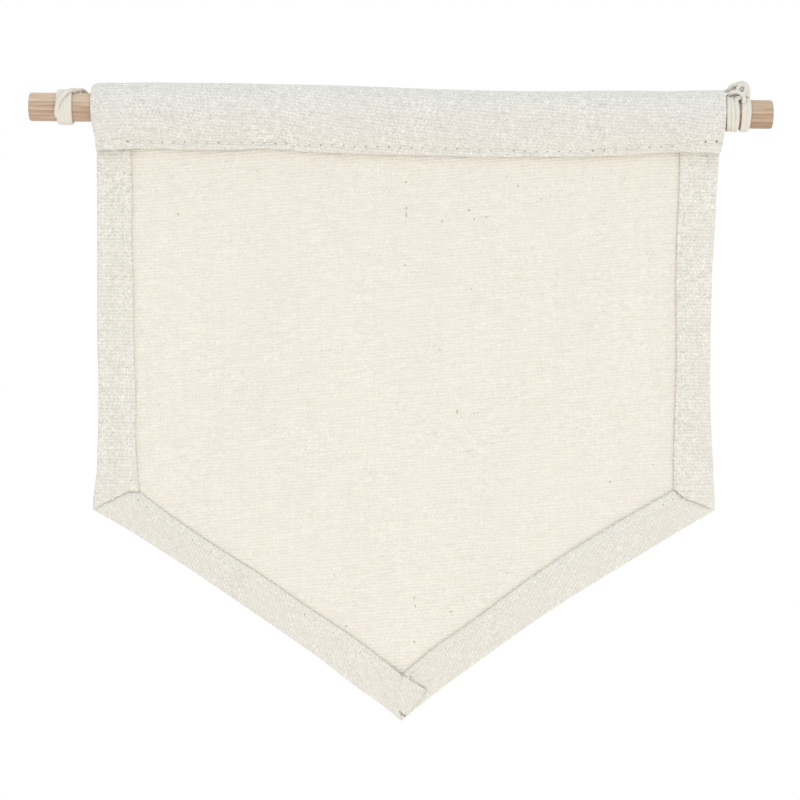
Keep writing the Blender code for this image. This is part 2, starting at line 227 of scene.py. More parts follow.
# How much wider than high the turns lie, pressed together
LEFT_WIDEN, INNER_WIDEN, OUTER_WIDEN = 1.45, 1.20, 1.42
LEFT_TURNS = (-95.75, -94.75, -93.75, -92.75)
LEFT_STRAND = (
    (-96.2, -44, 4.3), (-96.2, -22, 4.7), (-95.9, -4, 5.15), (-95.4, 13, 5.4), (-94.3, 30, 5.45),
    (-93.3, 46, 5.4), (-92.3, 61, 5.15), (-91.3, 80, 4.7),
)
LEFT_LEAVING = ((-90.5, 0.15, 4.72),)
# How much thicker the left strand is where it has untwisted, and over what length
LOOSE_SHARE, LOOSE_RUN = 0.22, 4.0
RIGHT_INNER_TURNS = (91.66, 92.82, 94.0)
RIGHT_OUTER_TURNS = (97.2, 95.92)
RIGHT_BRIDGE = ((93.6, 24, 4.5), (93.8, 42, 4.9), (94.4, 53, 5.15), (95.3, 56, 5.15), (96.3, 46, 4.9))
# The right tie's knot and loops on top: x, y, z
RIGHT_UNDER = (
    (91.6, 0.9, 4.7), (92.6, 0.7, 5.4), (93.8, 0.4, 5.7), (95.2, 0.3, 5.5), (96.3, 0.6, 4.8),
)
RIGHT_LOOP = (
    (94.5, -2.0, 5.4), (94.3, -1.7, 6.3), (94.6, -1.4, 7.3), (95.4, -1.2, 8.0), (96.3, -1.3, 7.8),
    (96.7, -1.5, 7.0), (96.4, -2.0, 6.1), (96.0, -2.7, 5.3), (96.1, -3.4, 4.4),
)
RIGHT_BACK_LOOP = (
    (97.0, -2.6, 4.5), (97.3, -1.4, 6.0), (97.2, -0.8, 7.4), (96.6, -0.5, 8.4), (95.6, -0.4, 8.7),
    (94.6, -0.3, 8.4), (93.5, -0.2, 8.1), (92.6, -0.1, 7.6), (92.3, 0.1, 6.9), (93.0, 0.3, 6.3),
    (94.2, -0.1, 6.3), (94.9, -0.6, 6.6), (95.5, -0.8, 6.8), (96.2, -0.6, 7.1),
)
RIGHT_KNOT = (
    (91.7, -0.6, 4.9), (92.1, -1.6, 5.5), (93.1, -2.3, 5.9), (94.2, -2.7, 5.9), (95.0, -3.1, 5.4),
    (95.7, -3.6, 4.7), (95.9, -4.2, 3.6), (95.4, -4.2, 2.6),
)
# How much thicker than the cord each of these lies
UNDER_SIZE, LOOP_SIZE, BACK_LOOP_SIZE, KNOT_SIZE = 1.15, 1.1, 1.3, 1.05
# The cord between the ties, which hangs behind the cloth, and its way into the right knot
HANGING_ROUTE = (
    (-90.0, 0.6, 4.9), (-89.1, 2.5, 4.6), (-88.5, 4.6, 3.6), (-87.9, 6.5, 1.6),
    (-87.0, 7.6, -0.9), (-84.9, 8.0, -4.3), (-79.6, 8.0, -11.2), (-72.0, 8.0, -21.9),
    (-62.0, 8.0, -34.0), (-49.0, 8.0, -46.5), (-34.0, 8.0, -57.0), (-17.0, 8.0, -63.8),
    (0.0, 8.0, -66.0), (17.0, 8.0, -63.8), (34.0, 8.0, -57.0), (49.0, 8.0, -46.5),
    (62.0, 8.0, -34.0), (72.0, 8.0, -21.9), (79.6, 8.0, -11.2), (84.4, 8.0, -3.6),
    (87.0, 7.6, 1.6), (88.9, 6.4, 5.0), (90.3, 5.0, 6.5), (91.5, 3.9, 6.8),
)
RIGHT_LEAVING = (
    (92.6, 2.8, 7.2), (93.5, 1.8, 7.5), (94.3, 1.0, 7.4), (95.0, 0.2, 6.8), (95.4, -0.8, 5.8),
)

# Seed flecks on the front in mm: x, z, length, turn in degrees
FLECKS = (
    (1.7, -20.0, 0.7, 10), (1.8, -27.3, 0.6, 80), (1.8, -29.3, 1.3, 95), (11.9, -30.9, 0.7, 20),
    (19.5, -27.7, 0.9, 150), (20.9, -30.2, 0.6, 40), (24.3, -29.6, 0.8, 10), (33.2, -20.8, 0.6, 60),
    (-62.3, -29.7, 0.7, 100), (1.6, -43.4, 0.6, 30), (11.7, -67.1, 0.6, 0), (16.7, -84.5, 1.0, 70),
    (5.2, -136.9, 0.8, 85), (5.5, -139.2, 0.7, 100), (15.6, -140.7, 0.6, 20),
    (-13.9, -145.0, 0.6, 45), (5.3, -149.3, 0.7, 120), (59.9, -103.7, 0.6, 10),
)
HEM_FLECKS = ((82.7, -35.7, 0.7, 65),)
FLECK_RADIUS, HEM_FLECK_RADIUS = 0.15, 0.18
# How many flecks there are with the faint ones, where those may lie, their lengths and radii
FLECK_COUNT = 90
FAINT_X, FAINT_Z, FAINT_INSET = (-72, 76), (-150, -15), 3
FAINT_LENGTHS, FAINT_RADII = (0.2, 0.7), (0.05, 0.09)
# Loose fibres on the hems in mm: x, z, length, turn in degrees
FIBRES = (
    (-76.6, -30.0, 4.0, 120), (-77.4, -37.5, 2.6, 100), (-76.2, -46.0, 3.0, 130),
    (-75.9, -49.5, 2.5, 70), (-77.0, -66.0, 2.2, 110), (79.3, -94.0, 3.2, 75),
    (79.8, -100.5, 4.2, 60), (79.2, -107.0, 2.4, 95),
)
FIBRE_RADIUS, FIBRE_STEP = 0.10, 0.25
FIBRE_PARTS, FIBRE_BEND, FIBRE_LIFTS = 6, 1.2, (0.06, 0.16)

# Colours of the materials, as linear red, green and blue
CREAM = (0.79, 0.739, 0.648)
WHITE = (0.741, 0.706, 0.63)
# The white canvas under a painted cool light from above, for the heading's front
WHITE_PAINTED_SKYLIGHT = (0.718, 0.692, 0.642)
CORD_COLOUR = (0.76, 0.72, 0.637)
THREAD_COLOUR = (0.86, 0.84, 0.77)
# Painted shade in the needle holes
HOLE_SHADE_COLOURS = ((0.22, 0.20, 0.15), (0.34, 0.31, 0.25))
SEED_COLOURS = ((0.27, 0.21, 0.14), (0.50, 0.42, 0.31))
FLOOR_COLOURS = ((0.83, 0.82, 0.80), (0.87, 0.86, 0.84))
WOOD_DARK = (0.36, 0.234, 0.148)
WOOD_LIGHT = (0.64, 0.49, 0.36)
# How light the wood is between the two, and how that changes for each mm to the right and up; the
# change upwards is painted light from above, lighter on top and darker below
WOOD_LEVEL = 0.58
WOOD_FADE = -0.0013
WOOD_PAINTED_TOPLIGHT = 0.055
# Depth of the grain and of yarn's fibres, in mm
GRAIN_RELIEF, YARN_RELIEF = 0.03, 0.05

# Camera and floor, in metres: how far the camera stands, what its frame takes in, where it aims
CAMERA_DISTANCE = 0.70
FRAME_WIDTH = 0.2248
AIM = Vector((0.0006, 0.0, -0.0813))
ROLL = radians(0.6)
SENSOR = 36.0
FLOOR_DROP = 1.5
FLOOR_RADIUS = 2.0
# Lights: name, place and size in metres, power in watts, colour
LIGHTS = (
    ("window", (-0.6, -1.9, -0.35), 1.2, 1.5, (1.0, 0.985, 0.975)),
    ("fill", (0.35, -1.0, -1.30), 1.0, 7.9, (1.0, 0.985, 0.97)),
    ("sky", (0.0, -0.5, 1.3), 0.8, 4.2, (0.45, 0.72, 1.0)),
)


# Helpers for curves and meshes

def curve_through(rows):
    """A smooth function through rows of (place, value)."""
    rows = sorted(rows)
    places = np.array([row[0] for row in rows])
    values = np.array([row[1] for row in rows])
    slopes = np.gradient(values, places)

    def value_at(place):
        place = np.clip(place, places[0], places[-1])
        index = np.clip(np.searchsorted(places, place) - 1, 0, len(places) - 2)
        span = places[index + 1] - places[index]
        t = (place - places[index]) / span
        return float(
            values[index] * (1 + 2 * t) * (1 - t) ** 2
            + values[index + 1] * t * t * (3 - 2 * t)
            + span * (slopes[index] * t * (1 - t) ** 2 - slopes[index + 1] * t * t * (1 - t)))

    return value_at


def ease(value):
    value = min(max(value, 0.0), 1.0)
    return value * value * (3 - 2 * value)


def wander(x, y, z):
    """Smooth noise between about -0.7 and 0.7."""
    return noise.noise(Vector((x, y, z)))


def resample(points, spacing=None, count=None):
    """Points an equal distance apart along a run of straight pieces, and that distance."""
    lengths = np.cumsum([0.0] + [(b - a).length for a, b in zip(points, points[1:])])
    count = count or max(int(round(lengths[-1] / spacing)), 2) + 1
    goals = np.linspace(0, lengths[-1], count)
    columns = [np.interp(goals, lengths, [point[axis] for point in points]) for axis in range(3)]
    return [Vector(point) for point in zip(*columns)], goals[1]


def smooth_path(points, spacing=None, count=None):
    """Points an equal distance apart along a smooth curve through the given ones."""
    points = [Vector(point) for point in points]
    padded = [points[0] * 2 - points[1], *points, points[-1] * 2 - points[-2]]
    fine = []
    for before, start, finish, after in zip(padded, padded[1:], padded[2:], padded[3:]):
        for step in range(SPLINE_STEPS):
            t = step / SPLINE_STEPS
            fine.append(0.5 * (2 * start + (finish - before) * t
                               + (2 * before - 5 * start + 4 * finish - after) * t * t
                               + (3 * start - before - 3 * finish + after) * t ** 3))
    fine.append(points[-1])
    return resample(fine, spacing, count)[0]


def make_object(name, verts, faces, material):
    """A smooth mesh object from points in mm."""
    mesh = bpy.data.meshes.new(name)
    mesh.from_pydata([tuple(c * MM for c in v) for v in verts], [], faces)
    mesh.update()
    mesh.shade_smooth()
    mesh.materials.append(material)
    thing = bpy.data.objects.new(name, mesh)
    bpy.context.scene.collection.objects.link(thing)
    return thing


def tapered(size, ends=(0.5, 0.8, 1.0)):
    """A radius of size mm that starts and finishes with the shares in ends."""

    def radius_at(run, angle, from_end):
        return size * ends[min(from_end, len(ends) - 1)]

    return radius_at


def rings_along(path, sides, radius_at):
    """Rings of points round a path. radius_at(run, angle, from_end) gives the radius in mm."""
    tangent = (path[1] - path[0]).normalized()
    across = tangent.orthogonal().normalized()
    run = 0.0
    rings = []
    for index, point in enumerate(path):
        if index:
            run += (point - path[index - 1]).length
            ahead = path[min(index + 1, len(path) - 1)]
            turned = (ahead - path[index - 1]).normalized()
            across = (tangent.rotation_difference(turned) @ across).normalized()
            tangent = turned
        upward = tangent.cross(across)
        from_end = min(index, len(path) - 1 - index)
        ring = []
        for side in range(sides):
            angle = 2 * pi * side / sides
            radius = radius_at(run, angle, from_end)
            ring.append(point + across * (radius * cos(angle)) + upward * (radius * sin(angle)))
        rings.append(ring)
    return rings


def skin(rings, verts, faces):
    """Append a closed tube over the rings."""
    sides = len(rings[0])
    start = len(verts)
    for ring in rings:
        verts.extend(ring)
    for index in range(len(rings) - 1):
        near = start + index * sides
        far = near + sides
        for side in range(sides):
            following = (side + 1) % sides
            faces.append((near + side, near + following, far + following, far + side))
    last = start + (len(rings) - 1) * sides
    faces.append(tuple(start + side for side in reversed(range(sides))))
    faces.append(tuple(last + side for side in range(sides)))


# Materials

def feed(tree, value, place):
    """Give a node's input a Term or a constant."""
    if isinstance(value, Term):
        tree.links.new(value.socket, place)
    else:
        place.default_value = value


class Term:
    """A value in a material's nodes, for writing its sums as ordinary arithmetic."""

    def __init__(self, tree, socket):
        self.tree = tree
        self.socket = socket

    def math(self, operation, *others):
        node = self.tree.nodes.new("ShaderNodeMath")
        node.operation = operation
        for place, value in zip(node.inputs, (self, *others)):
            feed(self.tree, value, place)
        return Term(self.tree, node.outputs[0])

    def __add__(self, other):
        return self.math("ADD", other)

    def __sub__(self, other):
        return self.math("SUBTRACT", other)

    def __mul__(self, other):
        return self.math("MULTIPLY", other)

    def __truediv__(self, other):
        return self.math("DIVIDE", other)

    def clamped(self):
        node = self.tree.nodes.new("ShaderNodeClamp")
        feed(self.tree, self, node.inputs[0])
        return Term(self.tree, node.outputs[0])


class Finish:
    """A material with its own coordinates, noise, colour mix and bump."""

    def __init__(self, name, roughness):
        self.material = bpy.data.materials.new(name)
        self.material.use_nodes = True
        self.tree = self.material.node_tree
        self.shader = self.tree.nodes["Principled BSDF"]
        self.shader.inputs["Roughness"].default_value = roughness
        self.shader.inputs["Specular IOR Level"].default_value = 0.25

    def node(self, kind):
        return self.tree.nodes.new("ShaderNode" + kind)

    def place(self, output="Object"):
        """The three coordinates of a point, in mm."""
        source = self.node("TexCoord")
        split = self.node("SeparateXYZ")
        self.tree.links.new(source.outputs[output], split.inputs[0])
        per_metre = 1 if output == "UV" else 1 / MM
        return [Term(self.tree, out) * per_metre for out in split.outputs]

    def noise(self, x, y, z, detail=1.0):
        """Noise of about 0 to 1 that changes once for each unit of x, y and z."""
        joined = self.node("CombineXYZ")
        for value, place in zip((x, y, z), joined.inputs):
            feed(self.tree, value, place)
        node = self.node("TexNoise")
        node.inputs["Scale"].default_value = 1.0
        node.inputs["Detail"].default_value = detail
        self.tree.links.new(joined.outputs[0], node.inputs["Vector"])
        return Term(self.tree, node.outputs[0])

    def mix(self, share, first, second):
        """The first colour at 0 and the second at 1. Each is numbers or another mix."""
        mix = self.node("Mix")
        mix.data_type = "RGBA"
        for place, colour in (("A", first), ("B", second)):
            feed(self.tree, (*colour, 1) if isinstance(colour, tuple) else colour, mix.inputs[place])
        feed(self.tree, share, mix.inputs["Factor"])
        return Term(self.tree, mix.outputs["Result"])

    def colour(self, share, dark, light):
        """Base colour from dark at 0 to light at 1."""
        feed(self.tree, self.mix(share, dark, light), self.shader.inputs["Base Color"])

    def bump(self, height, depth):
        """Relief of depth mm for a height of 0 to 1."""
        node = self.node("Bump")
        node.inputs["Strength"].default_value = 1.0
        node.inputs["Distance"].default_value = depth * MM
        feed(self.tree, height, node.inputs["Height"])
        self.tree.links.new(node.outputs["Normal"], self.shader.inputs["Normal"])


def shaded(colour, share):
    return tuple(part * share for part in colour)


def canvas_finish(name, light, painted_skylight, weave):
    """Plain-weave canvas by its flat cloth coordinates. weave says how strong each unevenness is,
    painted shade between threads and painted highlights on nubs among them.

    The second colour is taken round the heading's front; for the white face it is painted cool light
    from above.
    """
    finish = Finish(name, 0.92)
    u, flat_z = finish.place("UV")[:2]
    slant = u.math("SMOOTH_MIN", SKEW_REACH, SKEW_BLEND).math("SMOOTH_MAX", -SKEW_REACH, SKEW_BLEND)
    v = flat_z - slant * SKEW
    column = (u + (finish.noise(u / 2, v / 6, 1.5) - 0.5) * 0.6) / WARP_PITCH
    row = (v + (finish.noise(u / 6, v / 2, 5.5) - 0.5) * 0.8) / WEFT_PITCH
    warp_side = (column.math("FLOOR") * pi).math("COSINE")
    weft_side = (row.math("FLOOR") * pi).math("COSINE")
    over_column = (column * pi).math("SINE")
    over_row = (row * pi).math("SINE")
    warp = over_column.math("ABSOLUTE") * 0.4 + over_row * warp_side * 0.4
    weft = over_row.math("ABSOLUTE") * 0.8 - over_column * weft_side * 0.3
    height = warp.math("SMOOTH_MAX", weft, 0.1)
    crossing = finish.noise(column, row, 2.5) - 0.5
    dash = finish.noise(u / 3, row, 9.5) - 0.5
    streak = finish.noise(column, v / 20, 12.5) - 0.5
    fibre = finish.noise(u / 0.33, v / 0.30, 3.5) - 0.5
    broad = finish.noise(u / 12, v / 60, 9.5) - 0.5
    patch = finish.noise(u / 9, v / 9, 21.5) * 2.0
    uneven = crossing * weave["crossing"] + dash * weave["dash"] + fibre * weave["fibre"]
    # Bright specks: painted highlights on raised nubs of the yarn.
    nub_highlight = (finish.noise(column * 1.2, row * 1.7, 31.5) - 0.58).clamped() * weave["nub_highlight"]
    calm = ((flat_z * -1.0 - CALM_FROM) / CALM_FADE).clamped() * -weave["calm"] + 1.0
    # The weave's height darkens the gaps between threads and lightens their tops: painted shade of its
    # relief.
    tone = (((height - 0.6) * weave["relief_shade"] + uneven * patch + nub_highlight) * calm + weave["level"]
            + streak * weave["streak"] + broad * weave["broad"])
    tone = tone.clamped()
    # Round the heading's front the cloth takes the second colour, painted cool light from above, fading
    # out on either side.
    from_front = (flat_z - HEADING_FRONT).math("ABSOLUTE") / PAINTED_SKYLIGHT_FADE
    painted_skylight_share = (from_front * -1.0 + 1.0).clamped()
    plain, painted_skylight_tone = (finish.mix(tone, shaded(colour, DARKEST), shaded(colour, BRIGHTEST))
                       for colour in (light, painted_skylight))
    finish.colour(painted_skylight_share, plain, painted_skylight_tone)
    finish.bump(height + uneven * 0.6, WEAVE_RELIEF)
    return finish.material


def wood_finish():
    finish = Finish("bare_wood", 0.6)
    x, y, z = finish.place()
    bent = (finish.noise(x / 25, y / 9, z / 9) - 0.5) * 1.4
    grain = finish.noise(x / 34, (y + bent) / 0.62, (z + bent) / 0.62, 2.0)
    pores = (finish.noise(x / 7, (y + bent) / 0.22, (z + bent) / 0.22) - 0.5) * 3 + 0.25
    broad = finish.noise(x / 60, y / 2.6, z / 2.6) - 0.5
    tone = (grain - 0.5) * 1.7 + WOOD_LEVEL + broad * 0.5 - pores.clamped() * 0.35
    # Darker to the right, and painted light from above: lighter towards the top, darker underneath.
    tone = tone + x * WOOD_FADE + z * WOOD_PAINTED_TOPLIGHT
    finish.colour(tone.clamped(), WOOD_DARK, WOOD_LIGHT)
    finish.bump(tone, GRAIN_RELIEF)
    return finish.material


def yarn_finish(name, light, dark_share, fibre):
    """Cotton yarn: fine fibres of about fibre mm."""
    finish = Finish(name, 0.95)
    x, y, z = finish.place()
    fibres = finish.noise(x / fibre, y / fibre, z / fibre, 2.0)
    broad = finish.noise(x / 2.2, y / 2.2, z / 2.2) - 0.5
    tone = (fibres - 0.5) * 1.3 + 0.65 + broad * 0.5
    finish.colour(tone.clamped(), shaded(light, dark_share), light)
    finish.bump(fibres, YARN_RELIEF)
    return finish.material


def speck_finish(name, dark, light):
    finish = Finish(name, 0.9)
    x, y, z = finish.place()
    finish.colour(finish.noise(x / 2.5, y / 2.5, z / 2.5), dark, light)
    return finish.material


# Cords

def on_band(x, degrees, radius):
    """A point round the dowel: 0 degrees is in front, 90 on top."""
    angle = radians(degrees)
    return Vector((x, -radius * cos(angle), radius * sin(angle)))


def cord_radius(size):
    """Radius of a cord of strands laid together."""
    end_radius = tapered(size, (0.45, 0.8, 1.0))

    def radius_at(run, angle, from_end):
        strand = abs(cos(STRANDS / 2 * (angle - 2 * pi * run / CORD_LAY)))
        ridge = GROOVE_SHARE + STRAND_RISE * strand ** STRAND_ROUND
        return end_radius(run, angle, from_end) * ridge

    return radius_at


def winding(turns):
    """A helix round the dowel, down in front, through the x places of turns at the front."""
    last = WINDING_END - 360 * (len(turns) - 1)
    path = []
    for degrees in range(WINDING_START, last, -WINDING_STEP):
        x = float(np.interp(-degrees / 360, range(len(turns)), turns))
        tuck = ease((last - degrees) / TUCK_RUN + 1) + ease((degrees - WINDING_START) / TUCK_RUN + 1)
        path.append(on_band(x, degrees, WRAP_RADIUS - WINDING_TUCK * tuck))
    return path


def nearest(path, place):
    """Number of the path's point nearest to a place."""
    return min(range(len(path)), key=lambda index: (path[index] - Vector(place)).length)


def dress(piece, node):
    """Put a piece in the place of a CAD node."""
    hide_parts(node)
    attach(piece, "root")


def add_cord(path, size, verts, faces, widen=1.0):
    """Append a cord of size times its usual thickness and widen times that along the dowel."""
    path = smooth_path(path, CORD_RING)
    rings = rings_along(path, CORD_SIDES, cord_radius(CORD_RADIUS * size))
    for ring, middle in zip(rings, path):
        for point in ring:
            point.x = middle.x + (point.x - middle.x) * widen
    skin(rings, verts, faces)


def make_left_tie(strand_rings, finish):
    """Four turns pressed together, and the strand that crosses them."""
    verts, faces = [], []
    skin(strand_rings, verts, faces)
    add_cord(winding(LEFT_TURNS), 1.0, verts, faces, LEFT_WIDEN)
    dress(make_object("tie_left_cord", verts, faces, finish), "tie_left")


def make_right_tie(strand_rings, finish):
    """Three and two turns, the bridge between them, and the knot on top with its loops."""
    verts, faces = [], []
    skin(strand_rings, verts, faces)
    add_cord(winding(RIGHT_INNER_TURNS), 1.0, verts, faces, INNER_WIDEN)
    add_cord(winding(RIGHT_OUTER_TURNS), 1.0, verts, faces, OUTER_WIDEN)
    bridge = [on_band(x, degrees, radius) for x, degrees, radius in RIGHT_BRIDGE]
    for path, size in ((bridge, 1.0), (RIGHT_UNDER, UNDER_SIZE), (RIGHT_LOOP, LOOP_SIZE),
                       (RIGHT_BACK_LOOP, BACK_LOOP_SIZE), (RIGHT_KNOT, KNOT_SIZE)):
        add_cord(path, size, verts, faces)
    dress(make_object("tie_right_cord", verts, faces, finish), "tie_right")


def make_hanging_cord(rings, path, finish):
    """The cord from tie to tie. Its route has every CORD_PATH_STEP-th point of its path."""
    verts, faces = [], []
    skin(rings, verts, faces)
    hanging = make_object("hanging_cord_twist", verts, faces, finish)
    dress(hanging, "hanging_cord")
    route = path[::CORD_PATH_STEP]
    if route[-1] != path[-1]:
        route.append(path[-1])
    length = sum((b - a).length for a, b in zip(route, route[1:]))
    tuple(c * MM for c in route[0])
    [tuple(c * MM for c in point) for point in route]


def make_cords(finish):
    """The two ties and the cord between them. One strand runs through all three."""
    left_strand = [on_band(x, degrees, radius) for x, degrees, radius in LEFT_STRAND]
    whole = smooth_path([*left_strand, *LEFT_LEAVING, *HANGING_ROUTE, *RIGHT_LEAVING], CORD_RING)
    start, end = nearest(whole, HANGING_ROUTE[0]), nearest(whole, HANGING_ROUTE[-1])
    taut_radius = cord_radius(CORD_RADIUS)

    def loosening_radius(run, angle, from_end):
        untwisted = 1 + LOOSE_SHARE * ease((start * CORD_RING - run) / LOOSE_RUN + 1)
        return taut_radius(run, angle, from_end) * untwisted

    rings = rings_along(whole, CORD_SIDES, loosening_radius)
    make_left_tie(rings[:start + 1], finish)
    make_right_tie(rings[end:], finish)
    make_hanging_cord(rings[start:end + 1], whole[start:end + 1], finish)


# The cloth's shape, all in mm

left_edge, right_edge = curve_through(LEFT_EDGE), curve_through(RIGHT_EDGE)
left_inner, right_inner = curve_through(LEFT_INNER), curve_through(RIGHT_INNER)
lower_left, lower_right = curve_through(LOWER_LEFT), curve_through(LOWER_RIGHT)
lower_left_inner = curve_through(LOWER_LEFT_INNER)
lower_right_inner = curve_through(LOWER_RIGHT_INNER)
heading_top, heading_seam, heading_flap = (
    curve_through([(row[0], row[place]) for row in HEADING]) for place in (1, 2, 3))
TIP_X, TIP_Z = LOWER_LEFT[-1]
LEFT_X, LEFT_Z = LOWER_LEFT[0]
RIGHT_X, RIGHT_Z = LOWER_RIGHT[-1]
TIP_SHARE = (TIP_X - LEFT_X) / (RIGHT_X - LEFT_X)
INNER_LEFT_Z, INNER_LEFT_X = LEFT_INNER[0]
INNER_RIGHT_Z, INNER_RIGHT_X = RIGHT_INNER[0]
INNER_TIP_X, INNER_TIP_Z = LOWER_LEFT_INNER[-1]


def sheet_y(x, z):
    """Where the middle of the hung sheet lies: it is almost flat."""
    broad = wander(x / 62, z / 58, 3.1) * BROAD_WAVE
    fine = wander(x / 17, z / 19, 8.4) * FINE_WAVE
    return SHEET_Y + (broad + fine) * ease((FLAT_TOP - z) / WAVE_FADE)


def hem_cover(x):
    """1 over the side hems and 0 over the open panel, with a soft step between."""
    return max(ease((COVER_LEFT - x) / COVER_RUN), ease((x - COVER_RIGHT) / COVER_RUN))


def flap_y(x):
    """Middle of the heading's front layer where it is sewn down."""
    return SHEET_Y - 2 * LAYER - FLAP_GAP - (2 * LAYER + HEM_GAP) * hem_cover(x)


def heading_section(x):
    """Section of the sheet at x as (y, z): up behind the dowel, over it, down and turned under."""
    top = heading_top(x) - THICK / 2
    seam = heading_seam(x)
    flap = heading_flap(x) + THICK / 2
    front = flap_y(x)
    slack = wander(x / 24, 0.5, 2.0)
    points = [(SHEET_Y, FLAT_TOP), *((SHEET_Y + y, seam + z) for y, z in BACK_POINTS)]
    points.append((SHEET_Y + BACK_SWELL[0] + BACK_SLACK * slack, seam + BACK_SWELL[1]))
    for degrees in ARC:
        angle = radians(degrees)
        rise = top if sin(angle) > 0 else HEADING_DEPTH
        loose = 1 + ARC_LOOSE * wander(x / 15, degrees / 60, 5.0)
        points.append((-HEADING_DEPTH * loose * cos(angle), rise * sin(angle)))
    points.append(((front - HEADING_DEPTH) / 2 - FRONT_SWELL + FRONT_SLACK * slack, (seam - 0.2) / 2))
    for base, places in ((seam, FRONT_POINTS), (flap, FLAP_POINTS), (seam, RAW_POINTS)):
        points += [(front + y, base + z) for y, z in places]
    return smooth_path([(0.0, y, z) for y, z in points], count=LOOP_ROWS + 1)


SECTION_PLACES = np.arange(SECTIONS_FROM, SECTIONS_TO, SECTION_STEP)
SECTIONS = [heading_section(float(x)) for x in SECTION_PLACES]


def loop_point(x, row):
    """A point (x, y, z) of the heading's loop at a row."""
    share = (x - SECTION_PLACES[0]) / SECTION_STEP
    index = min(max(int(share), 0), len(SECTIONS) - 2)
    point = SECTIONS[index][row].lerp(SECTIONS[index + 1][row], share - index)
    return Vector((x, point.y, point.z))


def flap_face(x, z):
    """A point on the front of the heading at x and z, below the dowel's height, and its outward."""
    for row in range(FLAP_EDGE_ROW - 1, 1, -1):
        below, above = loop_point(x, row), loop_point(x, row - 1)
        if above.z >= z:
            point = below.lerp(above, max((z - below.z) / (above.z - below.z), 0.0))
            along = (below - above).normalized()
            outward = Vector((0, along.z, -along.y))
            return point + outward * THICK / 2, outward
    return Vector((x, -HEADING_DEPTH, z)), Vector((0, -1, 0))


LOOP_HEIGHTS = [loop_point(0.0, row).z for row in range(LOOP_ROWS + 1)]
LOOP_RUN = resample(SECTIONS[len(SECTIONS) // 2], count=2)[1]
FLAP_EDGE_ROW = min(range(LOOP_ROWS // 2, LOOP_ROWS + 1), key=lambda row: LOOP_HEIGHTS[row])


def cloth_point(x, z, row, offset):
    """A point of the cloth offset to its hem side. Rows above 0 count up the heading's loop."""
    if row <= 0:
        return Vector((x, sheet_y(x, z) - offset, z))
    before = loop_point(x, row - 1)
    after = loop_point(x, min(row + 1, LOOP_ROWS))
    along = (after - before).normalized()
    return loop_point(x, row) + Vector((0, -along.z, along.y)) * offset


def square_to(function, x, distance):
    """The point that lies square to the curve z = function(x), distance below it."""
    step = 0.5
    slope = (function(x + step) - function(x - step)) / (2 * step)
    length = hypot(1, slope)
    return x + distance * slope / length, function(x) - distance / length


def opened(point, start, finish, reach=None):
    """Where a point of a folded hem lies in the flat cloth once its fold is opened.

    The fold runs from start to finish. reach is how far the cloth runs from it to the point,
    if that isn't just the way across.
    """
    run = Vector((finish[0] - start[0], finish[1] - start[1]))
    inward = Vector((-run.y, run.x)).normalized()
    across = Vector(point) - Vector(start)
    if reach is None:
        reach = across.dot(inward) + FOLD * pi
    return Vector(start) + run * (across.dot(run) / run.length_squared) - inward * reach


def pressed(row):
    """0 where a hem has its full height and 1 where it is pressed flat inside the heading."""
    return ease((row - PRESSED_FROM) / PRESSED_ROWS)


def hem_offset(share, row):
    """How far the hem's upper layer lies from the sheet, from the fold to the inner edge."""
    step = ease(share / HEM_STEP - 1)
    dent = SEAM_DENT * exp(-((share - DENT_PLACE) / DENT_RUN) ** 2)
    edge = EDGE_PRESS * ease((share - EDGE_FROM) / (1 - EDGE_FROM))
    return LAYER * (1.0 + (1.0 - UPPER_PRESS * pressed(row)) * step - edge) - dent


def lap_offset(x, z):
    """Upper layer of the left strip's end where it lies over the right strip."""
    run = Vector((RIGHT_X - TIP_X, RIGHT_Z - TIP_Z)).normalized()
    share = (run.x * (z - TIP_Z) - run.y * (x - TIP_X)) / HEM_WIDTH
    return hem_offset(share, 0) + LAYER


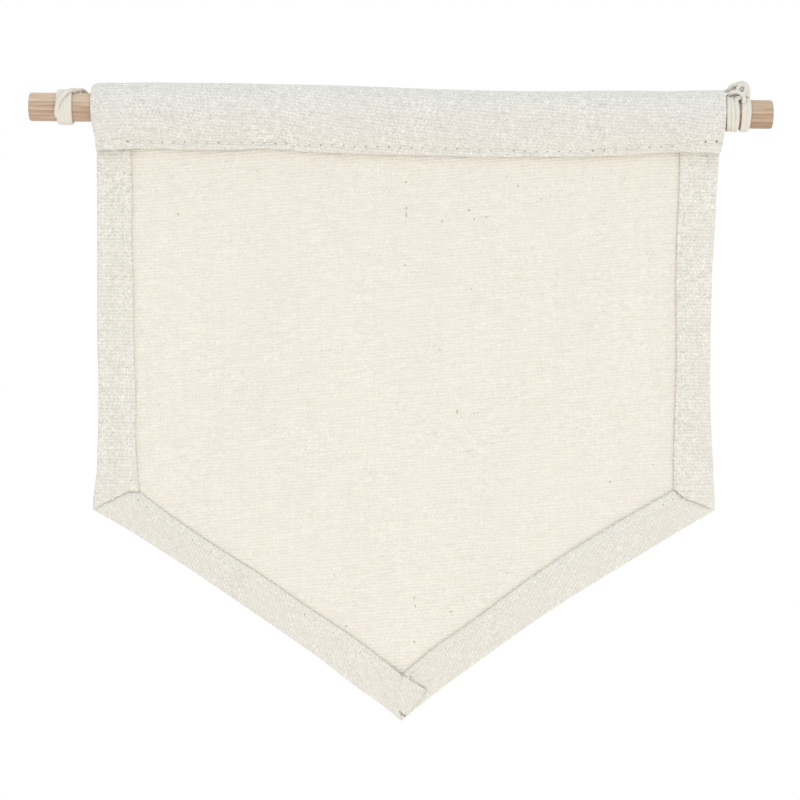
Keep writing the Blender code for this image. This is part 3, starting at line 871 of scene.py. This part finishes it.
class Cloth:
    """The cloth's mesh: its points, their places in the flat cloth, and its faces."""

    def __init__(self):
        self.verts = []
        self.flat = []
        self.faces = []
        self.sheet = {}
        self.rows = [*range(LOOP_ROWS, 0, -1), *(-row for row in range(FLAT_ROWS + 1))]

    def add(self, point, flat):
        self.verts.append(point)
        self.flat.append(flat)
        return len(self.verts) - 1

    def join(self, lines):
        """Faces between neighbouring lines of points."""
        for line, following in zip(lines, lines[1:]):
            for a, b, c, d in zip(line, line[1:], following[1:], following):
                face = (a, d, c, b)
                self.faces.append(face if a != d else (a, c, b))

    def place(self, column, row):
        """(x, z) of the sheet at a column and row. The middle column runs to the tip."""
        share = float(np.interp(column, (0, HALF_COLUMNS, 2 * HALF_COLUMNS), (0, TIP_SHARE, 1)))
        if row > 0:
            z = LOOP_HEIGHTS[row]
        else:
            x = LEFT_X + EDGE_INSET + share * (RIGHT_X - LEFT_X - 2 * EDGE_INSET)
            bottom = (lower_left if x < TIP_X else lower_right)(x) + EDGE_INSET * LOWER_SLANT
            z = FLAT_TOP + (bottom - FLAT_TOP) * -row / FLAT_ROWS
        left = left_edge(z) + EDGE_INSET
        right = right_edge(z) - EDGE_INSET
        return left + share * (right - left), z

    def flat_height(self, z, row):
        return FLAT_TOP + LOOP_RUN * row / LOOP_ROWS if row > 0 else z

    def hem_line(self, column, row, outward, inner, flat_at, lift=0.0, bend=0.0):
        """A line of points from the sheet's edge round the fold to the hem's raw edge.

        lift raises its upper layer, and bend moves that layer up, most at MITRE_SHARE.
        """
        x0, z0 = self.place(column, row)
        run_x, run_z = inner[0] - x0, inner[1] - z0
        width = hypot(run_x, run_z)
        line = [self.sheet[column, row]]

        def add(x, z, offset, reach):
            line.append(self.add(cloth_point(x, z, row, offset), flat_at(x, z, reach)))

        for step in range(1, FOLD_STEPS + 1):
            angle = pi * step / FOLD_STEPS
            out = FOLD * sin(angle)
            add(x0 + outward[0] * out, z0 + outward[1] * out, FOLD * (1 - cos(angle)), FOLD * angle)
        for step in range(1, HEM_STEPS + 1):
            share = step / HEM_STEPS
            offset = hem_offset(share, row) + lift * ease(share / HEM_STEP)
            shift = bend * min(share / MITRE_SHARE, (1 - share) / (1 - MITRE_SHARE))
            add(x0 + run_x * share, z0 + run_z * share + shift, offset, FOLD * pi + width * share)
        upper = hem_offset(1, row) + lift
        under = LAYER * (1.0 - UNDER_PRESS * pressed(row)) + lift
        for step in range(1, FOLD_STEPS + 1):
            angle = pi * step / FOLD_STEPS
            out = FOLD * sin(angle) / width
            offset = (upper + under) / 2 + (upper - under) / 2 * cos(angle)
            reach = FOLD * (pi + angle) + width
            add(inner[0] + run_x * out, inner[1] + run_z * out, offset, reach)
        for step in range(1, UNDER_STEPS + 1):
            share = 1 - UNDER_SHARE * step / UNDER_STEPS
            reach = 2 * FOLD * pi + width * (2 - share)
            add(x0 + run_x * share, z0 + run_z * share, under, reach)
        return line

    def side_hem(self, column, inner_edge, inner_z, side, bend):
        """A hem up one side and round the heading. side is -1 on the left, 1 on the right."""
        lines = []
        for row in self.rows:
            x0, z0 = self.place(column, row)
            z = z0 if row > 0 else FLAT_TOP + (inner_z - FLAT_TOP) * -row / FLAT_ROWS
            inner = (inner_edge(z) + side * EDGE_INSET, z)

            def flat_at(x, z, reach, row=row, x0=x0):
                return x0 + side * reach, self.flat_height(z, row)

            near = ease(1 - (FLAT_ROWS + row) / BEND_ROWS) if row <= 0 else 0.0
            lines.append(self.hem_line(column, row, (side, 0), inner, flat_at, bend=bend * near))
        self.join(lines if side > 0 else lines[::-1])
        return lines

    def lower_hem(self, columns, inner_function, inner_from, inner_to, start, finish, bend):
        """A hem along one of the two lower edges, from left to right.

        The left one rises towards the tip, where its end lies over the right one.
        """
        lines = []
        ends_at_tip = finish[0] == TIP_X
        slope = (finish[1] - start[1]) / (finish[0] - start[0])
        outward = (slope / hypot(1, slope), -1 / hypot(1, slope))

        def flat_at(x, z, reach):
            return opened((x, z), start, finish, reach)

        for index, column in enumerate(columns):
            x = inner_from + (inner_to - inner_from) * index / (len(columns) - 1)
            inner = square_to(inner_function, x, EDGE_INSET)
            from_corner = index if ends_at_tip else len(columns) - 1 - index
            near = ease(1 - from_corner / BEND_ROWS)
            to_tip = TIP_X - self.place(column, -FLAT_ROWS)[0]
            lift = LAYER * ease(1 - to_tip / LAP_RUN) if ends_at_tip else 0.0
            lines.append(self.hem_line(
                column, -FLAT_ROWS, outward, inner, flat_at, lift, bend * near))
        self.join(lines[::-1])
        return lines

    def lap(self, line, start, finish):
        """The left strip's end, which lies over the right strip beyond the tip's middle."""
        upper = line[FOLD_STEPS:FOLD_STEPS + HEM_STEPS + 1]
        border = resample([Vector((x, 0, z)) for x, z in LAP_EDGE], count=len(upper))[0]
        lines = [upper]
        for step in range(1, LAP_STEPS + 1):
            numbers = []
            for number, edge in zip(upper, border):
                base = self.verts[number]
                point = base.lerp(edge, step / LAP_STEPS)
                rise = ease(hypot(point.x - base.x, point.z - base.z) / LAP_RISE)
                own = sheet_y(base.x, base.z) - base.y
                offset = own * (1 - rise) + lap_offset(point.x, point.z) * rise
                point.y = sheet_y(point.x, point.z) - offset
                flat = opened((point.x, point.z), start, finish)
                numbers.append(self.add(point, flat))
            lines.append(numbers)
        self.join(lines[::-1])

    def build(self):
        columns = range(2 * HALF_COLUMNS + 1)
        for row in self.rows:
            for column in columns:
                x, z = self.place(column, row)
                flat = (x, self.flat_height(z, row))
                self.sheet[column, row] = self.add(cloth_point(x, z, row, 0.0), flat)
        self.join([[self.sheet[column, row] for column in columns] for row in self.rows])
        left = self.side_hem(0, left_inner, INNER_LEFT_Z, -1, LEFT_BEND)
        right = self.side_hem(columns[-1], right_inner, INNER_RIGHT_Z, 1, RIGHT_BEND)
        tip = (TIP_X, TIP_Z)
        low_left = self.lower_hem(columns[:HALF_COLUMNS + 1], lower_left_inner, INNER_LEFT_X,
                                  INNER_TIP_X, (LEFT_X, LEFT_Z), tip, LEFT_BEND)
        low_right = self.lower_hem(columns[HALF_COLUMNS:], lower_right_inner, INNER_TIP_X,
                                   INNER_RIGHT_X, tip, (RIGHT_X, RIGHT_Z), RIGHT_BEND)
        self.lap(low_left[-1], (LEFT_X, LEFT_Z), tip)
        corner = FOLD_STEPS + 1
        for first, second in ((left[-1], low_left[0]), (low_left[-1], low_right[0]),
                              (low_right[-1], right[-1])):
            self.join([second[:corner], first[:corner]])
        for line, side in ((low_left[0], -1), (low_right[-1], 1)):
            for number in line[corner:]:
                self.verts[number] += Vector((side * MITRE_TUCK[0], *MITRE_TUCK[1:]))


def make_cloth(front, back):
    """The whole cloth as one sheet. Its front is cream and its other face white."""
    cloth = Cloth()
    cloth.build()
    thing = make_object("canvas_cloth", cloth.verts, cloth.faces, front)
    layer = thing.data.uv_layers.new(name="cloth")
    for loop in thing.data.loops:
        layer.data[loop.index].uv = cloth.flat[loop.vertex_index]
    thing.data.materials.append(back)
    solid = thing.modifiers.new("thickness", "SOLIDIFY")
    solid.thickness = THICK * MM
    solid.offset = 0.0
    solid.material_offset = 1
    solid.material_offset_rim = 1
    dress(thing, "canvas")
    return thing


# Sewing

def hem_face(x, z):
    """The front face of a hem's upper layer at its seam."""
    lapped = TIP_X < x < LAP_EDGE[2][0] - LAP_INSET and z < INNER_TIP_Z
    offset = lap_offset(x, z) if lapped else hem_offset(SEAM_SHARE, 0)
    return Vector((x, sheet_y(x, z) - offset - THICK / 2, z))


def seam_lines():
    """Every seam as its kind and a line of (point, outward) pairs on the cloth's surface."""
    front, back = Vector((0, -1, 0)), Vector((0, 1, 0))
    left_heights = np.arange(SIDE_SEAM_TOP, INNER_LEFT_Z - 1, -1.0)
    right_heights = np.arange(SIDE_SEAM_TOP, INNER_RIGHT_Z - 1, -1.0)
    lines = []
    for points in ([(left_inner(z) - STITCH_INSET, z) for z in left_heights],
                   [square_to(lower_left_inner, x, STITCH_INSET) for x in np.arange(*LEFT_SEAM, 1.0)],
                   [square_to(lower_right_inner, x, STITCH_INSET) for x in np.arange(*RIGHT_SEAM, 1.0)],
                   [(right_inner(z) + STITCH_INSET, z) for z in right_heights]):
        lines.append(("plain", [(hem_face(x, z), front) for x, z in points]))
        behind = [Vector((x, sheet_y(x, z) + THICK / 2, z)) for x, z in points]
        lines.append(("plain", [(point, back) for point in behind]))
    places = np.arange(*HEADING_SEAM, 1.0)
    lines.append(("heading", [flap_face(x, heading_seam(x)) for x in places]))
    back_y = SHEET_Y + BACK_POINTS[1][0] + THICK / 2
    lines.append(("plain", [(Vector((x, back_y, heading_seam(x))), back) for x in places]))
    for edge, side in ((left_inner, -1), (right_inner, 1)):
        line = []
        for row in range(1, FLAP_EDGE_ROW - 1):
            x = edge(LOOP_HEIGHTS[row]) + side * STITCH_INSET
            surface = cloth_point(x, 0, row, -THICK / 2)
            line.append((surface, (surface - cloth_point(x, 0, row, 0.0)).normalized()))
        lines.append(("heading_end", line))
    return lines


def stitch_path(start, finish, outward):
    """One stitch between two holes: it rises out of the cloth and sinks in again."""
    path = []
    for step in range(STITCH_STEPS + 1):
        share = STITCH_ENDS + (1 - 2 * STITCH_ENDS) * step / STITCH_STEPS
        rise = STITCH_RISE * (1 - abs(2 * share - 1) ** 3) - STITCH_SUNK
        path.append(start.lerp(finish, share) + outward * rise)
    return path


def add_hole_shade(point, outward, size, verts, faces):
    """Painted shade of a needle hole: a small dark low cone of HOLE_SHADE_SIDES sides on the surface.
    """
    across = outward.orthogonal().normalized()
    upward = outward.cross(across)
    start = len(verts)
    verts.append(point + outward * HOLE_SHADE_RISE * 2)
    for side in range(HOLE_SHADE_SIDES):
        angle = 2 * pi * side / HOLE_SHADE_SIDES
        verts.append(point + outward * HOLE_SHADE_RISE + (across * cos(angle) + upward * sin(angle)) * size)
    for side in range(HOLE_SHADE_SIDES):
        faces.append((start, start + 1 + side, start + 1 + (side + 1) % HOLE_SHADE_SIDES))


def make_sewing(thread, hole_shade):
    chance = random.Random(11)
    thread_mesh = ([], [])
    hole_shade_mesh = ([], [])
    for kind, line in seam_lines():
        thread_radius, smallest, largest = SEAMS[kind]
        points = resample([point for point, outward in line], STITCH)[0]
        outwards = [min(line, key=lambda pair: (pair[0] - point).length)[1] for point in points]
        for start, finish, outward in zip(points, points[1:], outwards):
            radius_at = tapered(thread_radius, (0.5, 0.85, 1.0))
            path = stitch_path(start, finish, outward)
            skin(rings_along(path, THREAD_SIDES, radius_at), *thread_mesh)
        for point, outward in zip(points, outwards):
            # A dark cone of painted shade at each needle hole.
            add_hole_shade(point, outward, chance.uniform(smallest, largest), *hole_shade_mesh)
    for x, z, size in EXTRA_HOLE_SHADES:
        outward = Vector((0, -1, 0))
        surface = hem_face(x, z)
        if z > FLAT_TOP:
            surface, outward = flap_face(x, z)
        add_hole_shade(surface + outward * HOLE_SHADE_RISE, outward, size, *hole_shade_mesh)
    stitches = make_object("stitches", *thread_mesh, thread)
    hole_shades = make_object("needle_hole_shade", *hole_shade_mesh, hole_shade)
    return [stitches, hole_shades]


def make_flecks(finish):
    """Seed flecks in the front: the ones that show, and fainter ones by chance."""
    chance = random.Random(5)
    flecks = [(x, z, length, turn, FLECK_RADIUS) for x, z, length, turn in FLECKS]
    while len(flecks) < FLECK_COUNT:
        x, z = chance.uniform(*FAINT_X), chance.uniform(*FAINT_Z)
        if z > max(lower_left_inner(x), lower_right_inner(x)) + FAINT_INSET:
            length, turn = chance.uniform(*FAINT_LENGTHS), chance.uniform(0, 180)
            flecks.append((x, z, length, turn, chance.uniform(*FAINT_RADII)))
    spots = [(Vector((x, sheet_y(x, z) - THICK / 2, z)), length, turn, size)
             for x, z, length, turn, size in flecks]
    spots += [(hem_face(x, z), length, turn, HEM_FLECK_RADIUS) for x, z, length, turn in HEM_FLECKS]
    verts, faces = [], []
    for middle, length, turn, size in spots:
        along = Vector((cos(radians(turn)), 0, sin(radians(turn)))) * (length / 4)
        path = [middle + along * step for step in (-2, -1, 0, 1, 2)]
        skin(rings_along(path, THREAD_SIDES, tapered(size, (0.4, 0.8, 1.0))), verts, faces)
    return make_object("seed_flecks", verts, faces, finish)


def make_fibres(finish):
    """Loose ends and lint on the hems."""
    chance = random.Random(3)
    verts, faces = [], []
    for x, z, length, turn in FIBRES:
        path = []
        for step in range(FIBRE_PARTS + 1):
            along = length * (step / FIBRE_PARTS - 0.5)
            bend = radians(turn) + wander(x, z, along / 2) * FIBRE_BEND
            lift = Vector((0, -chance.uniform(*FIBRE_LIFTS), 0))
            path.append(hem_face(x + along * cos(bend), z + along * sin(bend)) + lift)
        path = smooth_path(path, FIBRE_STEP)
        skin(rings_along(path, THREAD_SIDES, tapered(FIBRE_RADIUS)), verts, faces)
    return make_object("loose_fibres", verts, faces, finish)


# Camera, light and floor

def make_camera():
    data = bpy.data.cameras.new("camera")
    data.sensor_width = SENSOR
    data.lens = SENSOR * CAMERA_DISTANCE / FRAME_WIDTH
    camera = bpy.data.objects.new("camera", data)
    bpy.context.scene.collection.objects.link(camera)
    right = Vector((cos(ROLL), 0, sin(ROLL)))
    up = Vector((-sin(ROLL), 0, cos(ROLL)))
    back = Vector((0, -1, 0))
    turned = Matrix((right, up, back)).transposed().to_4x4()
    camera.matrix_world = Matrix.Translation(AIM + back * CAMERA_DISTANCE) @ turned
    bpy.context.scene.camera = camera


def make_light(name, place, size, power, colour):
    """A square soft light that faces the middle of the object."""
    data = bpy.data.lights.new(name, "AREA")
    data.energy = power
    data.size = size
    data.color = colour
    light = bpy.data.objects.new(name, data)
    light.location = place
    light.rotation_euler = (AIM - Vector(place)).to_track_quat("-Z", "Y").to_euler()
    bpy.context.scene.collection.objects.link(light)


def make_world():
    world = bpy.data.worlds.new("white_room")
    bpy.context.scene.world = world
    world.use_nodes = True
    background = world.node_tree.nodes["Background"]
    background.inputs["Color"].default_value = (1, 1, 1, 1)
    background.inputs["Strength"].default_value = 1.0


def make_floor():
    bpy.ops.mesh.primitive_circle_add(vertices=64, radius=FLOOR_RADIUS, fill_type="NGON",
                                      location=(0, 0, -FLOOR_DROP))
    floor = bpy.context.object
    floor.name = "floor"
    floor.data.materials.append(speck_finish("pale_floor", *FLOOR_COLOURS))


# The scene

bpy.context.scene.view_settings.view_transform = "Standard"
make_camera()
make_cords(yarn_finish("cotton_cord", CORD_COLOUR, 0.80, 0.16))
cream = canvas_finish("canvas_cream", CREAM, CREAM, CREAM_WEAVE)
white = canvas_finish("canvas_white", WHITE, WHITE_PAINTED_SKYLIGHT, WHITE_WEAVE)
cloth = make_cloth(cream, white)
trimmings = make_sewing(
    yarn_finish("sewing_thread", THREAD_COLOUR, 0.85, 0.2),
    speck_finish("needle_shadow", *HOLE_SHADE_COLOURS))
trimmings.append(make_flecks(speck_finish("cotton_seed", *SEED_COLOURS)))
trimmings.append(make_fibres(yarn_finish("lint", THREAD_COLOUR, 0.9, 0.2)))
for piece in trimmings:
    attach(piece, "root")
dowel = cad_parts["dowel"]
dowel.data.materials.clear()
dowel.data.materials.append(wood_finish())
make_floor()
make_world()
for light in LIGHTS:
    make_light(*light)
